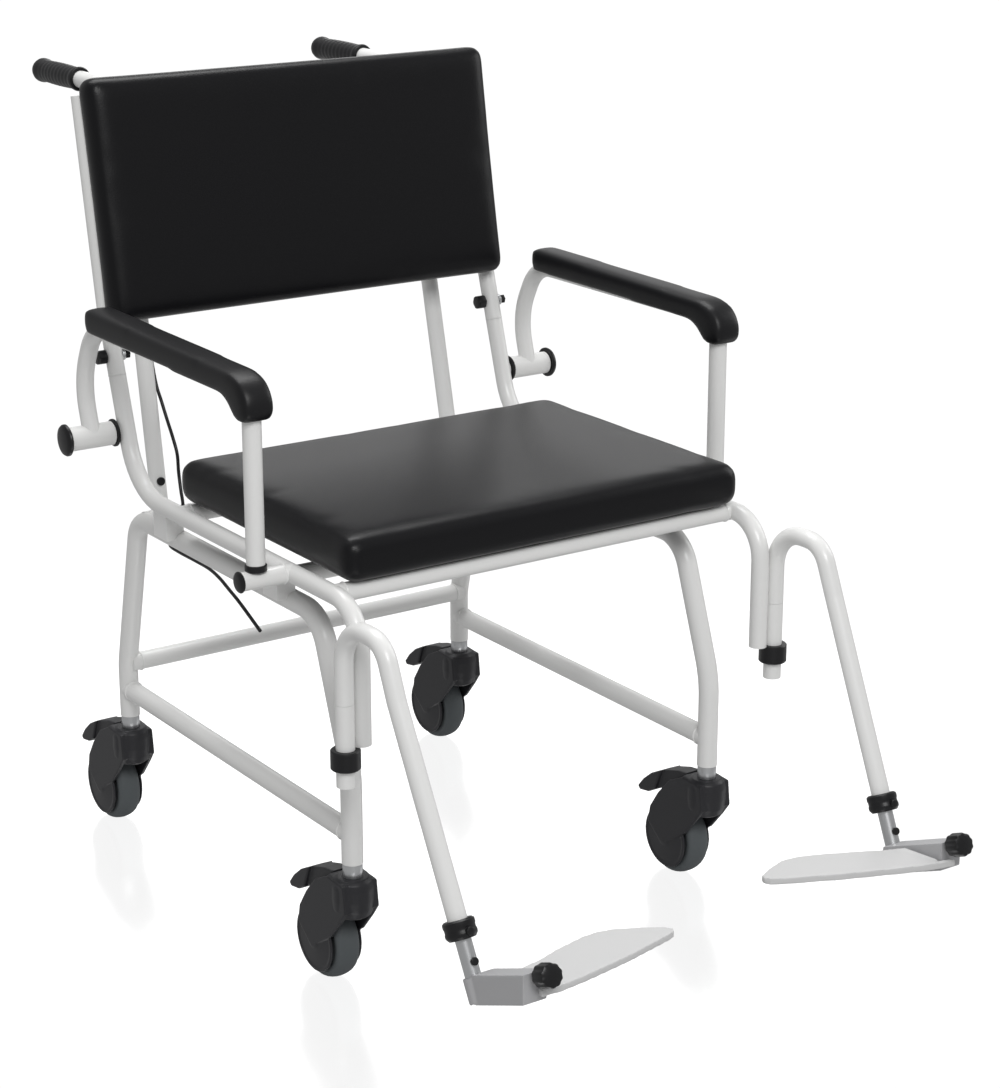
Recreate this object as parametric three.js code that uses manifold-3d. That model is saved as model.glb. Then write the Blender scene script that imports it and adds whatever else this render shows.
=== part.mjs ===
// Attendant-pushed wheelchair: padded seat and back on a load-carrying frame, four braked casters,
// flip-up armrests and swing-away footrests. Millimetres, +Z up, the sitter faces -Y.
import * as THREE from 'three';
import { mergeVertices } from 'three/addons/utils/BufferGeometryUtils.js';
import Module from 'manifold-3d';

const wasm = await Module();
wasm.setup();

// ---- driving dimensions ------------------------------------------------------------------------
const GAP = 0.3;                    // clearance between touching pieces
const SIDES = { right: -1, left: 1 };

const LEG_TUBE_R = 12.7;            // lower frame tube
const FRAME_TUBE_R = 11;            // upper frame, back, arm and hanger tube
const LEG_X = 261;                  // lower frame half width
const SEAT_X = 284;                 // upper frame half width
const HANDLE_X = 225;               // foot of the push handle tubes
const HANDLE_TOP_X = 213;           // they come in a little towards the grips
const ARM_X = 330;                  // armrest tubes
const HANGER_X = 306.6;             // footrest hangers

const LOWER_RAIL_Z = 450;
const UPPER_RAIL_Z = 498;
const STRETCHER_Z = 201.5;
const LEG_END_Z = 165;

const CASTER_Y = { front: -205, rear: 361.5 };   // swivel axes, in line with the legs
const CASTER_TRAIL = 57;
const WHEEL_R = 50;
const TYRE_WIDTH = 31;

const SEAT_FRONT_Y = -241;          // cushion
const SEAT_REAR_Y = 172;
const SEAT_HALF_WIDTH = 281;
const BOARD_Z = UPPER_RAIL_Z + FRAME_TUBE_R + GAP;
const BOARD_THICKNESS = 4;
const CUSHION_HEIGHT = 51;

const BACK_LEAN = THREE.MathUtils.degToRad(17);  // uprights
const PAD_LEAN = THREE.MathUtils.degToRad(10);   // back pad and the tubes behind it
const BACK_SEAM = [306.4, 640];                  // Y, Z where the back tube meets the upright
const PAD_BOTTOM = [306, 703];                   // Y, Z of the pad's mid plane at its lower edge
const PAD_LENGTH = 309;
const PAD_HALF_WIDTH = 295;
const PAD_THICKNESS = 46;
const BACKBOARD_THICKNESS = 5;

const ARM_PIVOT = [294, 572];       // Y, Z
const BARREL_R = 15;
const BARREL_BORE_R = 11.5;
const ARM_POST_Y = -121;
const STUB_Z = 499;

const HANGER_Y = -271;              // swivel post
const HANGER_SEAM_Z = 392;
const FOOT_SLOPE = THREE.MathUtils.degToRad(25.8);   // hanger tube from the vertical
const BRACKET_TILT = THREE.MathUtils.degToRad(23);

// ---- finishes ----------------------------------------------------------------------------------
const finish = (color, roughness, metalness = 0) =>
  new THREE.MeshStandardMaterial({ color, roughness, metalness });
const WHITE_COAT = finish(0xe9e9e6, 0.35);
const BLACK_VINYL = finish(0x17171a, 0.45);
const ARM_FOAM = finish(0x1b1b1d, 0.55);
const BLACK_PLASTIC = finish(0x141416, 0.4);
const CASTER_PLASTIC = finish(0x35373b, 0.5);
const TYRE_RUBBER = finish(0x6a7073, 0.8);
const LIGHT_PLASTIC = finish(0xd9dbdc, 0.45);
const ZINC = finish(0xb9bbbd, 0.35, 0.8);
const PLYWOOD = finish(0xc9b08a, 0.7);

// ---- geometry helpers --------------------------------------------------------------------------
const BEND_STEP = THREE.MathUtils.degToRad(18);
const v = (x, y, z) => new THREE.Vector3(x, y, z);
const group = new THREE.Group();

function add(name, geometry, material, parent = group) {
  const mesh = new THREE.Mesh(geometry, material);
  mesh.name = name;
  parent.add(mesh);
  return mesh;
}

/** Regular polygon with its corners on a circle. */
function ring(radius, sides) {
  const points = [];
  for (let i = 0; i < sides; i += 1) {
    const angle = (2 * Math.PI * (i + 0.5)) / sides;
    points.push(new THREE.Vector2(radius * Math.cos(angle), radius * Math.sin(angle)));
  }
  return points;
}

/** Straight runs joined by circular bends. Each corner is [x, y, z] or [x, y, z, bend radius]. */
class BentPath extends THREE.Curve {
  constructor(corners) {
    super();
    this.stations = [];
    const at = corners.map((c) => v(c[0], c[1], c[2]));
    const last = at.length - 1;
    const heading = (i) => at[i + 1].clone().sub(at[i]).normalize();
    this.stations.push({ point: at[0], tangent: heading(0) });
    for (let i = 1; i < last; i += 1) {
      this.addBend(at[i], heading(i - 1), heading(i), corners[i][3]);
    }
    this.stations.push({ point: at[last], tangent: heading(last - 1) });
  }

  addBend(corner, before, after, radius) {
    const turn = before.angleTo(after);
    const start = corner.clone().addScaledVector(before, -radius * Math.tan(turn / 2));
    const inward = after.clone().addScaledVector(before, -Math.cos(turn)).divideScalar(Math.sin(turn));
    const steps = Math.max(2, Math.ceil(turn / BEND_STEP));
    for (let k = 0; k <= steps; k += 1) {
      const angle = (turn * k) / steps;
      const point = start.clone().addScaledVector(before, radius * Math.sin(angle));
      point.addScaledVector(inward, radius * (1 - Math.cos(angle)));
      const tangent = before.clone().multiplyScalar(Math.cos(angle));
      tangent.addScaledVector(inward, Math.sin(angle));
      this.stations.push({ point, tangent });
    }
  }

  get steps() {
    return this.stations.length - 1;
  }

  station(u) {
    return this.stations[Math.round(u * this.steps)];
  }

  getPointAt(u) {
    return this.station(u).point.clone();
  }

  getTangentAt(u) {
    return this.station(u).tangent.clone();
  }
}

function tube(corners, radius, sides = 12) {
  const path = new BentPath(corners);
  const section = new THREE.Shape(ring(radius, sides));
  return new THREE.ExtrudeGeometry(section, { steps: path.steps, extrudePath: path });
}

/** Turns a solid made along +Y so that it starts at `from` and runs along `direction`. */
function aim(geometry, from, direction) {
  const turn = new THREE.Quaternion().setFromUnitVectors(v(0, 1, 0), direction.clone().normalize());
  geometry.applyQuaternion(turn);
  geometry.translate(from.x, from.y, from.z);
  return geometry;
}

function rod(from, to, radius, sides = 16, endRadius = radius) {
  const direction = to.clone().sub(from);
  const length = direction.length();
  const geometry = new THREE.CylinderGeometry(endRadius, radius, length, sides);
  geometry.translate(0, length / 2, 0);
  return aim(geometry, from, direction);
}

/** Solid of revolution: profile is [radius, distance along the axis] from axis to axis. */
function turned(profile, from, direction, segments = 20) {
  const points = profile.map(([r, h]) => new THREE.Vector2(r, h));
  return aim(new THREE.LatheGeometry(points, segments), from, direction);
}

function block(center, size) {
  const geometry = new THREE.BoxGeometry(size[0], size[1], size[2]);
  geometry.translate(center[0], center[1], center[2]);
  return geometry;
}

/** Outline in (Y, Z), extruded along X from x0 to x1. */
function profileX(outline, x0, x1) {
  const low = Math.min(x0, x1);
  const shape = new THREE.Shape(outline.map(([y, z]) => new THREE.Vector2(y, z)));
  const geometry = new THREE.ExtrudeGeometry(shape, { depth: Math.abs(x1 - x0), bevelEnabled: false });
  geometry.applyMatrix4(new THREE.Matrix4().makeBasis(v(0, 1, 0), v(0, 0, 1), v(1, 0, 0)));
  geometry.translate(low, 0, 0);
  return geometry;
}

/** Points of an arc in a plane, angles in degrees from the first axis. */
function arc(center, radius, from, to, steps) {
  const points = [];
  for (let i = 0; i <= steps; i += 1) {
    const angle = THREE.MathUtils.degToRad(from + ((to - from) * i) / steps);
    points.push([center[0] + radius * Math.cos(angle), center[1] + radius * Math.sin(angle)]);
  }
  return points;
}

/** Soft slab with rounded corners and edges, lying in XY, its bottom at z = 0. */
function slab(halfWidth, length, thickness, cornerR, edgeR) {
  const x = halfWidth - edgeR;
  const y = length / 2 - edgeR;
  const r = cornerR - edgeR;
  const outline = [
    ...arc([x - r, y - r], r, 0, 90, 3),
    ...arc([-x + r, y - r], r, 90, 180, 3),
    ...arc([-x + r, -y + r], r, 180, 270, 3),
    ...arc([x - r, -y + r], r, 270, 360, 3),
  ];
  const shape = new THREE.Shape(outline.map(([a, b]) => new THREE.Vector2(a, b)));
  const geometry = new THREE.ExtrudeGeometry(shape, {
    depth: thickness - 2 * edgeR,
    bevelThickness: edgeR,
    bevelSize: edgeR,
    bevelSegments: 2,
  });
  geometry.translate(0, 0, edgeR);
  return geometry;
}

function toSolid(geometry) {
  const bare = geometry.clone();
  bare.deleteAttribute('normal');
  bare.deleteAttribute('uv');
  const merged = mergeVertices(bare, 1e-4);
  return new wasm.Manifold(new wasm.Mesh({
    numProp: 3,
    vertProperties: new Float32Array(merged.attributes.position.array),
    triVerts: new Uint32Array(merged.index.array),
  }));
}

function toGeometry(solid) {
  const mesh = solid.getMesh();
  const geometry = new THREE.BufferGeometry();
  geometry.setAttribute('position', new THREE.BufferAttribute(new Float32Array(mesh.vertProperties), 3));
  geometry.setIndex(new THREE.BufferAttribute(new Uint32Array(mesh.triVerts), 1));
  geometry.computeVertexNormals();
  return geometry;
}

function cut(body, ...tools) {
  return toGeometry(tools.reduce((rest, tool) => rest.subtract(toSolid(tool)), toSolid(body)));
}

function join(...bodies) {
  return toGeometry(bodies.map(toSolid).reduce((sum, next) => sum.add(next)));
}

/** Point a distance along a lean from the vertical, in the YZ plane at x; positive leans back. */
function leaning(x, start, angle, distance) {
  return v(x, start[0] + distance * Math.sin(angle), start[1] + distance * Math.cos(angle));
}

// ---- lower frame -------------------------------------------------------------------------------
const FRONT_LEG_Y = CASTER_Y.front;
const REAR_LEG_Y = CASTER_Y.rear;

function legFrame(x, radius = LEG_TUBE_R) {
  return tube([
    [x, FRONT_LEG_Y, LEG_END_Z],
    [x, FRONT_LEG_Y, 281, 150],
    [x, -144.5, LOWER_RAIL_Z, 50],
    [x, 310.5, LOWER_RAIL_Z, 36],
    [x, REAR_LEG_Y, 237, 90],
    [x, REAR_LEG_Y, LEG_END_Z],
  ], radius);
}

function lowerCrossTube(y, z) {
  const body = tube([[-LEG_X, y, z], [LEG_X, y, z]], LEG_TUBE_R - 1);
  return cut(body, legFrame(-LEG_X, LEG_TUBE_R + GAP), legFrame(LEG_X, LEG_TUBE_R + GAP));
}

const HANDLE_CROSS_Y = 295;
const FRONT_CROSS_Y = -3;

for (const [name, side] of Object.entries(SIDES)) {
  const x = side * LEG_X;
  add(`leg_frame_${name}`, legFrame(x), WHITE_COAT);
  const stretcher = tube([[x, FRONT_LEG_Y, STRETCHER_Z], [x, REAR_LEG_Y, STRETCHER_Z]], LEG_TUBE_R);
  add(`side_stretcher_${name}`, cut(stretcher, legFrame(x, LEG_TUBE_R + GAP)), WHITE_COAT);
}
add('rear_cross_brace', lowerCrossTube(354, 240), WHITE_COAT);
add('handle_cross_tube', lowerCrossTube(HANDLE_CROSS_Y, LOWER_RAIL_Z), WHITE_COAT);
add('front_cross_tube', lowerCrossTube(FRONT_CROSS_Y, LOWER_RAIL_Z), WHITE_COAT);

// ---- push handles ------------------------------------------------------------------------------
const HANDLE_Z = 979;
const GRIP_END_Y = 643.37;
const GRIP_LENGTH = 122;
const GRIP_BORE_DEPTH = 108;
const HANDLE_TOP_Y = 424;

function handleTube(side, radius = FRAME_TUBE_R) {
  const top = GRIP_END_Y - (GRIP_LENGTH - GRIP_BORE_DEPTH) - GAP;
  return tube([
    [side * HANDLE_X, 318.5, 437],
    [side * HANDLE_TOP_X, HANDLE_TOP_Y, HANDLE_Z, 62],
    [side * HANDLE_TOP_X, top, HANDLE_Z],
  ], radius);
}

function pushGrip(x) {
  const bore = FRAME_TUBE_R + GAP;
  const end = GRIP_LENGTH;
  return turned([
    [0, GRIP_BORE_DEPTH],
    [bore, GRIP_BORE_DEPTH],
    [bore, 0],
    [13.5, 0],
    [15, 5],
    [13.5, 24],
    [14.5, 60],
    [13.5, 98],
    [15, 112],
    [12, 119],
    [5, end],
    [0, end],
  ], v(x, GRIP_END_Y - end, HANDLE_Z), v(0, 1, 0), 16);
}

for (const [name, side] of Object.entries(SIDES)) {
  const crossTube = rod(v(-LEG_X, HANDLE_CROSS_Y, LOWER_RAIL_Z), v(LEG_X, HANDLE_CROSS_Y, LOWER_RAIL_Z),
    LEG_TUBE_R - 1 + GAP, 12);
  add(`push_handle_tube_${name}`, cut(handleTube(side), crossTube), WHITE_COAT);
  add(`push_grip_${name}`, pushGrip(side * HANDLE_TOP_X), BLACK_PLASTIC);
}

// ---- upper frame -------------------------------------------------------------------------------
const SPIGOT_R = 9;
const SPIGOT_LENGTH = 60;
const DOWN_TUBE_Y = -269;
const DOWN_TUBE_END_Z = 338;
const SHAFT_R = 11;                 // armrest pivot
const BARREL_X = [301, 361];
const STUB_END_X = 350;
const POST_BOTTOM_Z = 294;          // footrest post
const PIN_RISE = 40;

function seatTube(x, radius = FRAME_TUBE_R) {
  const rise = BACK_SEAM[1] - UPPER_RAIL_Z;
  return tube([
    [x, DOWN_TUBE_Y, DOWN_TUBE_END_Z],
    [x, DOWN_TUBE_Y, UPPER_RAIL_Z, 50],
    [x, BACK_SEAM[0] - rise * Math.tan(BACK_LEAN), UPPER_RAIL_Z, 85],
    [x, BACK_SEAM[0], BACK_SEAM[1]],
  ], radius);
}

function seatCrossTube(y) {
  const body = tube([[-SEAT_X, y, UPPER_RAIL_Z], [SEAT_X, y, UPPER_RAIL_Z]], FRAME_TUBE_R);
  return cut(body, seatTube(-SEAT_X, FRAME_TUBE_R + GAP), seatTube(SEAT_X, FRAME_TUBE_R + GAP));
}

/** Load cell block between the lower and the upper rail. */
function railSpacer(side, y) {
  const middle = side * (LEG_X + SEAT_X) / 2;
  const body = block([middle, y, (LOWER_RAIL_Z + UPPER_RAIL_Z) / 2], [24, 34, 40]);
  return cut(body, legFrame(side * LEG_X, LEG_TUBE_R + GAP), seatTube(side * SEAT_X, FRAME_TUBE_R + GAP));
}

const SPACER_Y = { front: -70, rear: 205 };

/** Shaft welded to the upright, on which the armrest swings. */
function armPivotShaft(side) {
  const inner = v(side * SEAT_X, ...ARM_PIVOT);
  return rod(inner, v(side * (BARREL_X[1] + 0.5), ...ARM_PIVOT), SHAFT_R, 24);
}

/** Stub welded to the rail; the armrest post rests on it. */
function stubTube(side) {
  const from = v(side * SEAT_X, ARM_POST_Y, STUB_Z);
  return rod(from, v(side * STUB_END_X, ARM_POST_Y, STUB_Z), FRAME_TUBE_R, 16);
}

/** Post beside the down tube, on which the hanger swings, with its pin and welded plate. */
function footrestPost(side) {
  const x = side * HANGER_X;
  const post = rod(v(x, HANGER_Y, POST_BOTTOM_Z), v(x, HANGER_Y, HANGER_SEAM_Z - GAP), FRAME_TUBE_R, 16);
  const pin = rod(v(x, HANGER_Y, HANGER_SEAM_Z - 2), v(x, HANGER_Y, HANGER_SEAM_Z + PIN_RISE), SPIGOT_R, 24);
  const plate = block([side * (HANGER_X + SEAT_X) / 2, HANGER_Y + 7, 366], [26, 8, 40]);
  return join(post, pin, plate);
}

function seatSide(side) {
  const x = side * SEAT_X;
  const spigot = rod(leaning(x, BACK_SEAM, BACK_LEAN, -20), leaning(x, BACK_SEAM, BACK_LEAN, SPIGOT_LENGTH),
    SPIGOT_R, 16);
  return join(seatTube(x), spigot, armPivotShaft(side), stubTube(side), footrestPost(side));
}

for (const [name, side] of Object.entries(SIDES)) {
  add(`seat_side_${name}`, seatSide(side), WHITE_COAT);
  for (const [end, y] of Object.entries(SPACER_Y)) {
    add(`rail_spacer_${end}_${name}`, railSpacer(side, y), WHITE_COAT);
  }
}
add('seat_cross_tube_front', seatCrossTube(-213), WHITE_COAT);
add('seat_cross_tube_rear', seatCrossTube(150), WHITE_COAT);

// ---- seat --------------------------------------------------------------------------------------
const SEAT_LENGTH = SEAT_REAR_Y - SEAT_FRONT_Y;
const SEAT_MIDDLE_Y = (SEAT_REAR_Y + SEAT_FRONT_Y) / 2;

const seatBoard = slab(SEAT_HALF_WIDTH - 18, SEAT_LENGTH - 36, BOARD_THICKNESS, 20, 1.5);
seatBoard.translate(0, SEAT_MIDDLE_Y, BOARD_Z);
add('seat_board', seatBoard, PLYWOOD);
const cushion = slab(SEAT_HALF_WIDTH, SEAT_LENGTH, CUSHION_HEIGHT, 26, 14);
cushion.translate(0, SEAT_MIDDLE_Y, BOARD_Z + BOARD_THICKNESS + GAP);
add('seat_cushion', cushion, BLACK_VINYL);

// ---- backrest ----------------------------------------------------------------------------------
const BACK_BORE_R = SPIGOT_R + 0.4;
const BACK_BORE_DEPTH = 68;
const BACK_BEND = 86;               // along the upright from the seam
const BACK_STRAIGHT = 262;          // beyond the bend
const KNOB_RISE = 26;               // clamp screw above the seam
const SCREW_R = 3;

const knobPoint = (side) => leaning(side * SEAT_X, BACK_SEAM, BACK_LEAN, KNOB_RISE);

function backTubeSolid(x, radius = FRAME_TUBE_R) {
  const start = leaning(x, BACK_SEAM, BACK_LEAN, GAP);
  const bend = leaning(x, BACK_SEAM, BACK_LEAN, BACK_BEND);
  const top = leaning(x, [bend.y, bend.z], PAD_LEAN, BACK_STRAIGHT);
  return tube([start.toArray(), [...bend.toArray(), 120], top.toArray()], radius);
}

function backTube(side) {
  const x = side * SEAT_X;
  const bore = rod(leaning(x, BACK_SEAM, BACK_LEAN, -5), leaning(x, BACK_SEAM, BACK_LEAN, BACK_BORE_DEPTH),
    BACK_BORE_R, 16);
  const at = knobPoint(side);
  const hole = rod(at.clone().add(v(-30, 0, 0)), at.clone().add(v(30, 0, 0)), SCREW_R + GAP, 12);
  return cut(backTubeSolid(x), bore, hole);
}

/** Slab stood up with the pad's lean; offset is measured back from the pad's mid plane. */
function leanBack(geometry, length, offset) {
  geometry.translate(0, length / 2, 0);
  geometry.rotateX(Math.PI / 2 - PAD_LEAN);
  const back = v(0, Math.cos(PAD_LEAN), -Math.sin(PAD_LEAN)).multiplyScalar(offset);
  geometry.translate(0, PAD_BOTTOM[0] + back.y, PAD_BOTTOM[1] + back.z);
  return geometry;
}

/** Cuts the room that the two back tubes need. */
function clearOfBackTubes(geometry, clearance) {
  const radius = FRAME_TUBE_R + clearance;
  return cut(geometry, backTubeSolid(-SEAT_X, radius), backTubeSolid(SEAT_X, radius));
}

function backPad() {
  const pad = slab(PAD_HALF_WIDTH, PAD_LENGTH, PAD_THICKNESS, 34, 14);
  return clearOfBackTubes(leanBack(pad, PAD_LENGTH, PAD_THICKNESS / 2), 1);
}

function backboard() {
  const length = PAD_LENGTH - 30;
  const board = slab(PAD_HALF_WIDTH - 14, length, BACKBOARD_THICKNESS, 24, 1.5);
  board.translate(0, 15, 0);
  leanBack(board, length, PAD_THICKNESS / 2 + BACKBOARD_THICKNESS + GAP);
  return clearOfBackTubes(board, GAP);
}

/** Faceted hand knob with its screw, turned about X. */
function clampKnob(side) {
  const at = knobPoint(side);
  const face = -(FRAME_TUBE_R + GAP);
  const knob = turned([
    [0, 0], [7.5, 0], [9, 2], [9, 11], [7, 13], [0, 13],
  ], at.clone().add(v(face, 0, 0)), v(-1, 0, 0), 12);
  const screw = rod(at.clone().add(v(face - 2, 0, 0)), at.clone().add(v(-BACK_BORE_R, 0, 0)), SCREW_R, 12);
  return join(knob, screw);
}

for (const [name, side] of Object.entries(SIDES)) {
  add(`back_tube_${name}`, backTube(side), WHITE_COAT);
  add(`back_clamp_knob_${name}`, clampKnob(side), BLACK_PLASTIC);
}
add('backboard', backboard(), PLYWOOD);
add('back_pad', backPad(), BLACK_VINYL);

// ---- armrests ----------------------------------------------------------------------------------
const ARM_RUN_REAR_Z = 716;         // tube under the pad
const ARM_RUN_FRONT_Z = 716;

/** Shaft end cap, outside the barrel. */
function pivotCap(side) {
  const start = v(side * (BARREL_X[1] + 0.5 + GAP), ...ARM_PIVOT);
  return turned([[0, 0], [20, 0], [20, 3], [16, 6], [8, 7.5], [0, 8]], start, v(side, 0, 0), 24);
}

/** Rear tube, run under the pad and front post in one bent tube. */
function armTubeSolid(side, radius = FRAME_TUBE_R) {
  const x = side * ARM_X;
  return tube([
    [x, ARM_PIVOT[0] - 4, ARM_PIVOT[1]],
    [x, ARM_PIVOT[0] + 16, 640, 90],
    [x, 270, ARM_RUN_REAR_Z, 56],
    [x, ARM_POST_Y, ARM_RUN_FRONT_Z, 30],
    [x, ARM_POST_Y, STUB_Z + FRAME_TUBE_R + 2.5],
  ], radius);
}

function armTube(side) {
  const barrel = rod(v(side * BARREL_X[0], ...ARM_PIVOT), v(side * BARREL_X[1], ...ARM_PIVOT), BARREL_R, 24);
  const bore = rod(v(side * (BARREL_X[0] - 1), ...ARM_PIVOT), v(side * (BARREL_X[1] + 1), ...ARM_PIVOT),
    BARREL_BORE_R, 24);
  return cut(join(armTubeSolid(side), barrel), bore);
}

function armPad(side) {
  const outline = [
    [262, 744], [-103, 738], [-125, 732], [-139, 719], [-145, 703], [-143, 690], [-135, 683],
    [-122, 681], [-109, 686], [-98, 699], [-82, 707], [260, 711],
  ];
  const half = 21;
  const x = side * ARM_X;
  return cut(profileX(outline, x - half, x + half), armTubeSolid(side, FRAME_TUBE_R + GAP));
}

/** Saddle under the armrest post, resting on the stub tube. */
function postSaddle(side) {
  const x = side * ARM_X;
  const outer = FRAME_TUBE_R + 2.4;
  const lip = [ARM_POST_Y, STUB_Z];
  const outline = [
    ...arc(lip, outer, 30, 165, 8),
    ...arc(lip, FRAME_TUBE_R + GAP, 165, 30, 8),
  ];
  const body = profileX(outline, x - 11, x + 11);
  return cut(body, armTubeSolid(side, FRAME_TUBE_R + GAP));
}

for (const [name, side] of Object.entries(SIDES)) {
  add(`arm_pivot_cap_${name}`, pivotCap(side), BLACK_PLASTIC);
  add(`arm_tube_${name}`, armTube(side), WHITE_COAT);
  add(`arm_pad_${name}`, armPad(side), ARM_FOAM);
  add(`arm_post_saddle_${name}`, postSaddle(side), BLACK_PLASTIC);
}

// ---- footrests ---------------------------------------------------------------------------------
const ARCH_TOP_Z = 487;
const ARCH_R = 49;
const HANGER_BEND_Y = HANGER_Y - 2 * ARCH_R;
const KNEE = [-379.5, 428];                        // Y, Z where the sloped run of the hanger begins
const HANGER_RUN = 254;
const EXTENSION_R = 9;
const EXTENSION_BORE = 170;
const TOE_IN = 8;                                  // how far the lower end comes in towards the middle

/** Unit vector down the sloped part of a hanger. */
function slopeDown(side) {
  return v(-side * TOE_IN, -HANGER_RUN * Math.sin(FOOT_SLOPE), -HANGER_RUN * Math.cos(FOOT_SLOPE)).normalize();
}

const kneePoint = (side) => v(side * HANGER_X, KNEE[0], KNEE[1]);
const alongHanger = (side, distance) => kneePoint(side).addScaledVector(slopeDown(side), distance);

function hangerTube(side) {
  const x = side * HANGER_X;
  const run = tube([
    [x, HANGER_Y, HANGER_SEAM_Z],
    [x, HANGER_Y, ARCH_TOP_Z, ARCH_R - 1],
    [x, HANGER_BEND_Y + 15, ARCH_TOP_Z, ARCH_R - 14],
    kneePoint(side).toArray().concat(60),
    alongHanger(side, HANGER_RUN).toArray(),
  ], FRAME_TUBE_R);
  const socket = rod(v(x, HANGER_Y, HANGER_SEAM_Z - 1), v(x, HANGER_Y, HANGER_SEAM_Z + PIN_RISE + 2), SPIGOT_R + 0.4, 24);
  const bore = rod(alongHanger(side, HANGER_RUN - EXTENSION_BORE), alongHanger(side, HANGER_RUN + 1),
    EXTENSION_R + 0.4, 16);
  return cut(run, socket, bore);
}

function clampCollar(side) {
  return turned([
    [EXTENSION_R + 0.4, HANGER_RUN + GAP],
    [EXTENSION_R + 0.4, HANGER_RUN + 5],
    [15, HANGER_RUN + 5],
    [18, HANGER_RUN + 1],
    [18, HANGER_RUN - 14],
    [15.5, HANGER_RUN - 16],
    [FRAME_TUBE_R + GAP, HANGER_RUN - 16],
    [FRAME_TUBE_R + GAP, HANGER_RUN + GAP],
    [EXTENSION_R + 0.4, HANGER_RUN + GAP],
  ].reverse(), kneePoint(side), slopeDown(side), 20);
}

// Foot bracket: a block on the extension tube, rising towards its front.
const BRACKET_X = [275, 305];
const BRACKET_OUTLINE = [[-515, 128], [-613, 170], [-613, 205], [-516, 164]];   // Y, Z
const EXTENSION_END = HANGER_RUN + 74;
const KNOB_X = 286;
const KNOB_BASE = [-613.3, 199];                   // Y, Z of the knob's centre on the bracket's front
const KNOB_LENGTH = 28;
const KNOB_DIRECTION = v(0, -Math.cos(BRACKET_TILT), Math.sin(BRACKET_TILT));

function extensionTube(side) {
  const inside = alongHanger(side, HANGER_RUN - EXTENSION_BORE + 20);
  return rod(inside, alongHanger(side, EXTENSION_END), EXTENSION_R, 16);
}

function footBracket(side) {
  const body = profileX(BRACKET_OUTLINE, side * BRACKET_X[0], side * BRACKET_X[1]);
  const around = rod(alongHanger(side, HANGER_RUN + 46), alongHanger(side, EXTENSION_END), FRAME_TUBE_R + 1, 16);
  const socket = rod(alongHanger(side, HANGER_RUN), alongHanger(side, EXTENSION_END + 20), EXTENSION_R + GAP, 16);
  const knobHole = footKnobPin(side, KNOB_PIN_R + GAP, 20);
  return cut(join(body, around), socket, knobHole);
}

const KNOB_PIN_R = 4;
const KNOB_PIN_DEPTH = 16;

function footKnobPin(side, radius, depth) {
  const base = v(side * KNOB_X, ...KNOB_BASE);
  return rod(base.clone().addScaledVector(KNOB_DIRECTION, -depth), base.clone().addScaledVector(KNOB_DIRECTION, 4),
    radius, 12);
}

function footKnob(side) {
  const start = v(side * KNOB_X, ...KNOB_BASE).addScaledVector(KNOB_DIRECTION, 6);
  const length = KNOB_LENGTH - 6;
  const knob = turned([
    [0, 0], [12, 0], [13.5, 2], [13.5, 7], [11, 11], [13.5, 14], [13.5, length - 2], [11, length], [0, length],
  ], start, KNOB_DIRECTION, 16);
  const pin = footKnobPin(side, KNOB_PIN_R, KNOB_PIN_DEPTH);
  const neck = rod(v(side * KNOB_X, ...KNOB_BASE).addScaledVector(KNOB_DIRECTION, -1), start.clone()
    .addScaledVector(KNOB_DIRECTION, 1), KNOB_PIN_R, 12);
  return join(knob, neck, pin);
}

const PLATE_THICKNESS = 8;
const PLATE_TILT = { right: -3.1, left: 4 };       // degrees, inner end up
const PLATE_HINGE_X = 268;
const PLATE_HINGE = [-583, 182];                   // Y, Z on the plate's top face
const PLATE_PITCH = THREE.MathUtils.degToRad(5.7); // rises towards the front
const KNUCKLE_R = 5;

/** Footplate in its hinge frame: outward along X times side, forward along -Y, top at z = 0. */
function footplate(side) {
  const outline = [
    [20, -40], [-8, -38], [-43, -30], [-118, -8], [-191, 19], [-200, 24], [-203, 31], [-200, 39],
    [-176, 54], [-148, 68], [-128, 70], [-108, 67], [-60, 50], [-30, 36], [-2, 28], [-2, -32], [20, -33],
  ];
  const points = outline.map(([x, y]) => new THREE.Vector2(side * x, y));
  const shape = new THREE.Shape(points);
  const geometry = new THREE.ExtrudeGeometry(shape, { depth: PLATE_THICKNESS, bevelEnabled: false });
  geometry.translate(0, 0, -PLATE_THICKNESS);
  const middle = -PLATE_THICKNESS / 2;
  const knuckle = rod(v(0, 26, middle), v(0, -29, middle), KNUCKLE_R, 12);
  return join(geometry, knuckle);
}

for (const [name, side] of Object.entries(SIDES)) {
  add(`hanger_tube_${name}`, hangerTube(side), WHITE_COAT);
  add(`clamp_collar_${name}`, clampCollar(side), BLACK_PLASTIC);
  add(`extension_tube_${name}`, extensionTube(side), ZINC);
  add(`foot_bracket_${name}`, footBracket(side), LIGHT_PLASTIC);
  add(`foot_knob_${name}`, footKnob(side), BLACK_PLASTIC);
  const hinge = new THREE.Group();
  hinge.position.set(side * PLATE_HINGE_X, PLATE_HINGE[0], PLATE_HINGE[1]);
  hinge.rotation.set(-PLATE_PITCH, side * THREE.MathUtils.degToRad(PLATE_TILT[name]), 0);
  add(`footplate_${name}`, footplate(side), LIGHT_PLASTIC, hinge);
  group.add(hinge);
}

// ---- casters, each built about its own swivel axis ----------------------------------------------
const AXLE = [CASTER_TRAIL, WHEEL_R];              // Y, Z from the foot of the swivel axis
const FORK_HALF_WIDTH = 23.5;
const PEDAL_PIVOT = [20, 128];
const PEDAL_ROOT_HALF = 13;
const PEDAL_TREAD_HALF = 18;
const HOOD_R = 25;
const WHEEL_ROOM = 3.5;

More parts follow.
